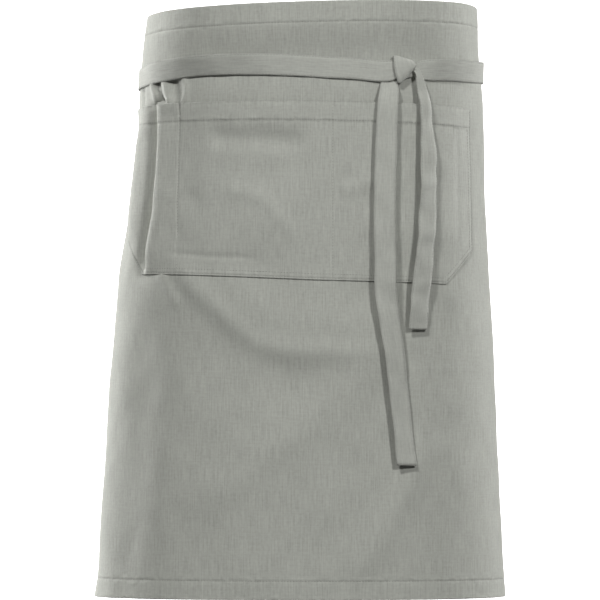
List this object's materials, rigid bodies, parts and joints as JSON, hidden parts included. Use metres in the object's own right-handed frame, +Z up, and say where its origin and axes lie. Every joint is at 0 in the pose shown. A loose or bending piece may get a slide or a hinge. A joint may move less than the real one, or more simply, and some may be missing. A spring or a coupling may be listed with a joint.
{
  "type": "waist apron",
  "caption": "Half apron shown worn and open at the back, with a divided front pocket and two ties knotted at the front right.",
  "frame": {"origin": "middle of the waist, inside the hollow, at the height of the knotted ties", "axes": "+Z up, -Y towards the front with the pocket, +X to the right as seen from the front, where the knot is"},
  "size_m": [0.4178, 0.2691, 0.6048],
  "materials": {
    "cloth": "matt sage grey twill",
    "tape": "matt sage grey twill, folded and stitched"
  },
  "bodies": {
    "root": {"skirt": "cloth", "pocket": "cloth", "tie_left": "tape", "tie_right": "tape"}
  },
  "joints": []
}
